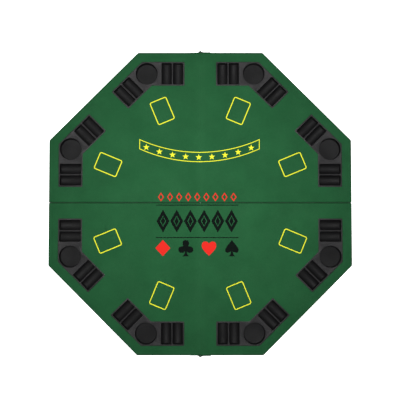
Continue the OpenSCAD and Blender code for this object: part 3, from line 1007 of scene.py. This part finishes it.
# One screw with a cross recess; its head is at the origin and it points up along Z
def woodScrew():
    shank = screw["length"] - screw["tip"]
    bpy.ops.mesh.primitive_cylinder_add(vertices=24, radius=screw["radius"] * mm, depth=shank * mm)
    made = place(bpy.context.object, (0, 0, shank / 2 * mm))
    edit(made)
    pick("FACE", lambda f: f.normal.z > 0.9)
    bpy.ops.mesh.extrude_region_move(TRANSFORM_OT_translate={"value": (0, 0, screw["tip"] * mm)})
    bpy.ops.transform.resize(value=(screw["tipWidth"], screw["tipWidth"], 1))
    pick("FACE", lambda f: f.normal.z < -0.9)
    bpy.ops.transform.translate(value=(0, 0, screw["headDepth"] * mm))
    cone = (screw["rim"] - screw["headDepth"]) * mm
    bpy.ops.mesh.extrude_region_move(TRANSFORM_OT_translate={"value": (0, 0, cone)})
    wide = screw["headRadius"] / screw["radius"]
    bpy.ops.transform.resize(value=(wide, wide, 1))
    bpy.ops.mesh.extrude_region_move(TRANSFORM_OT_translate={"value": (0, 0, -screw["rim"] * mm)})
    bpy.ops.transform.resize(value=(screw["rimTaper"], screw["rimTaper"], 1))
    leave()
    tools = []
    for turn in (0, math.pi / 2):
        bpy.ops.mesh.primitive_cube_add(size=1)
        tool = bpy.context.object
        tool.scale = (screw["recess"][0] * mm, screw["recess"][1] * mm, 2 * screw["recessDepth"] * mm)
        place(tool, turn=(0, 0, turn))
        edit(tool)
        pick("FACE", lambda f: f.normal.z > 0.9)
        bpy.ops.transform.resize(value=(screw["recessTaper"], screw["recessTaper"], 1))
        tools.append(leave())
    return smooth(finishOf(cut(made, *tools), zincMaterial), 30)


# The screws of one CAD node, copied from the first
def screwSet(name, node, body, places, turn):
    made = [place(copyOf(screwPattern, "screw"), [c * mm for c in at], turn) for at in places]
    made = join(made, name)
    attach(made, body)
    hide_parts(node)
    return made


pivotScrews = {"x": (12.0, 36.0), "z": 16.5, "left": 1.5, "right": 3.15}   # the plates' outer faces
hingeScrews = {"x": (99.0, 141.0, 478.6, 520.6), "y": 10.5, "z": 3.8}
screwPattern = woodScrew()
for quarter in quarters:
    half, hand = quarter.split("_")
    face = halves[half] * (table["apothem"] + pivotScrews[hand])
    places = [(x if hand == "right" else -x, face, pivotScrews["z"]) for x in pivotScrews["x"]]
    inwards = (halves[half] * math.pi / 2, 0, 0)
    screwSet(f"{quarter}_edge_screws", f"{quarter}_pivot_screws", quarter, places, inwards)
for half, side in halves.items():
    places = [(-x, side * hingeScrews["y"], hingeScrews["z"]) for x in hingeScrews["x"]]
    screwSet(f"{half}_leaf_screws", f"{half}_hinge_screws", f"{half}_left", places, (0, 0, 0))
bpy.data.objects.remove(screwPattern)

# The rivets that the two halves turn on
rivet = {
    "z": 31.2, "shank": 2.0, "inner": 0.1,
    "head": 4.6, "headAt": 3.3, "headHigh": 1.2, "dome": 0.95,
}


# A rivet with a low domed head that faces outwards
def domedRivet(name, half, side):
    reach = rivet["headAt"] - rivet["inner"]
    bpy.ops.mesh.primitive_cylinder_add(vertices=40, radius=rivet["shank"] * mm, depth=reach * mm)
    made = place(bpy.context.object, (0, 0, (rivet["inner"] + reach / 2) * mm))
    edit(made)
    pick("FACE", lambda f: f.normal.z > 0.9)
    bpy.ops.mesh.extrude_region_move(TRANSFORM_OT_translate={"value": (0, 0, 0)})
    wide = rivet["head"] / rivet["shank"]
    bpy.ops.transform.resize(value=(wide, wide, 1))
    bpy.ops.mesh.extrude_region_move(TRANSFORM_OT_translate={"value": (0, 0, rivet["headHigh"] * mm)})
    top = (rivet["headAt"] + rivet["headHigh"]) * mm
    pick("EDGE", lambda e: all(v.co.z > top - near for v in e.verts))
    bpy.ops.mesh.bevel(offset=rivet["dome"] * mm, segments=5, affect="EDGES")
    leave()
    place(made, turn=(-side * math.pi / 2, 0, 0))
    place(made, (0, side * table["apothem"] * mm, rivet["z"] * mm))
    made.name = made.data.name = name
    smooth(finishOf(made, enamelMaterial), 30)
    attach(made, f"{half}_left")
    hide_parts(f"{half}_pivot_rivet")


for half, side in halves.items():
    domedRivet(f"{half}_domed_rivet", half, side)
print("screws and rivets made")

# The camera hangs over the table, height and aim in metres, and leans by a few degrees
shot = {"height": 2.0, "lens": 44.0, "tilt": 1.7, "aim": (-0.0010, -0.0032, 0.029)}
camera = bpy.data.cameras.new("overhead camera")
camera.lens, camera.sensor_width = shot["lens"], 36.0
cameraObject = bpy.data.objects.new("overhead camera", camera)
bpy.context.scene.collection.objects.link(cameraObject)
tilt = math.radians(shot["tilt"])
cameraObject.location = Vector(shot["aim"]) + shot["height"] * Vector((0, -math.sin(tilt), math.cos(tilt)))
cameraObject.rotation_euler = (tilt, 0, 0)
bpy.context.scene.camera = cameraObject

# The floor and the world look white to the camera but light the table less than that
studio = {
    "floor": -0.66,      # metres; the rear half hangs down this far when it is half folded
    "floorSize": 60,
    "glow": 1.1,         # the floor as the camera sees it
    "bounce": 0.25,      # the floor as a light
    "world": 0.36,       # the world as a light
    "lamps": [
        {"name": "overhead softbox", "at": (-0.02, 0.14, 2.0), "aim": (-0.02, 0.10, 0), "size": 1.1,
         "spread": 68, "watts": 11.8},
        {"name": "left fill", "at": (-2.6, 1.0, 1.9), "aim": (0, 0, 0), "size": 2.0,
         "spread": 180, "watts": 8.0},
    ],
}
for lamp in studio["lamps"]:
    light = bpy.data.lights.new(lamp["name"], "AREA")
    light.shape, light.size, light.energy = "SQUARE", lamp["size"], lamp["watts"]
    light.spread = math.radians(lamp["spread"])
    lightObject = bpy.data.objects.new(lamp["name"], light)
    lightObject.location = lamp["at"]
    aim = Vector(lamp["aim"]) - Vector(lamp["at"])
    lightObject.rotation_euler = aim.to_track_quat("-Z", "Y").to_euler()
    bpy.context.scene.collection.objects.link(lightObject)

world = bpy.data.worlds.new("studio")
world.use_nodes = True
backdrop = world.node_tree.nodes["Background"]
backdrop.inputs["Color"].default_value = rgb(1, 1, 1)
seen = put(world.node_tree, "LightPath").outputs["Is Camera Ray"]
world.node_tree.links.new(ranged(world.node_tree, seen, 0.0, 1.0, studio["world"], 1.0, "LINEAR"),
                          backdrop.inputs["Strength"])
bpy.context.scene.world = world

bpy.ops.mesh.primitive_plane_add(size=studio["floorSize"], location=(0, 0, studio["floor"]))
floor = settle(bpy.context.object)
floor.name = "studio_floor"
floorMaterial, tree, shader = newMaterial("pale floor", rgb(0.92, 0.92, 0.92), {"Roughness": 0.9})
shader.inputs["Emission Color"].default_value = rgb(1, 1, 1)
seen = put(tree, "LightPath").outputs["Is Camera Ray"]
tree.links.new(ranged(tree, seen, 0.0, 1.0, studio["bounce"], studio["glow"], "LINEAR"),
               shader.inputs["Emission Strength"])
floor.data.materials.append(floorMaterial)
bpy.context.scene.view_settings.view_transform = "Standard"
print("studio made")
